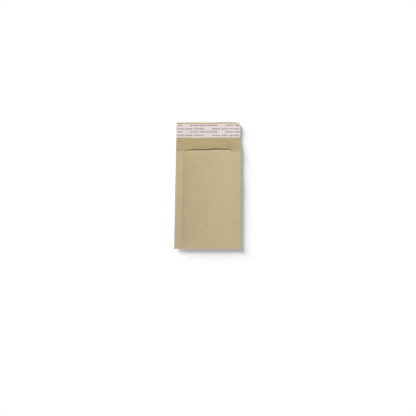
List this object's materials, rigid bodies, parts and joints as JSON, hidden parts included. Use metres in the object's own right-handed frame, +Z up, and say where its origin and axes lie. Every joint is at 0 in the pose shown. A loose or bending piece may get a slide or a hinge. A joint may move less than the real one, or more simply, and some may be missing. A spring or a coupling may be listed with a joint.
{
  "type": "padded envelope",
  "caption": "Slim kraft paper mailing pouch lined with bubble film, lying on its back with the mouth eased open, the flap unfolded and the peel-off paper still over its glue strip.",
  "frame": {"origin": "on the surface the envelope lies on, below the middle of its box", "axes": "+X across the width to the right, +Y from the foot fold to the flap, +Z up out of the front panel"},
  "size_m": [0.1, 0.19, 0.0106],
  "materials": {
    "kraft": "smooth unbleached kraft paper, satin to matte",
    "clear_film": "clear to milky bubble film",
    "hot_melt": "glossy pressure-sensitive glue",
    "release_paper": "silicone-coated white paper with a faint sheen"
  },
  "bodies": {
    "root": {"kraft_wrap": "kraft", "bubble_liner": "clear_film", "adhesive_strip": "hot_melt", "release_liner": "release_paper"}
  },
  "joints": []
}
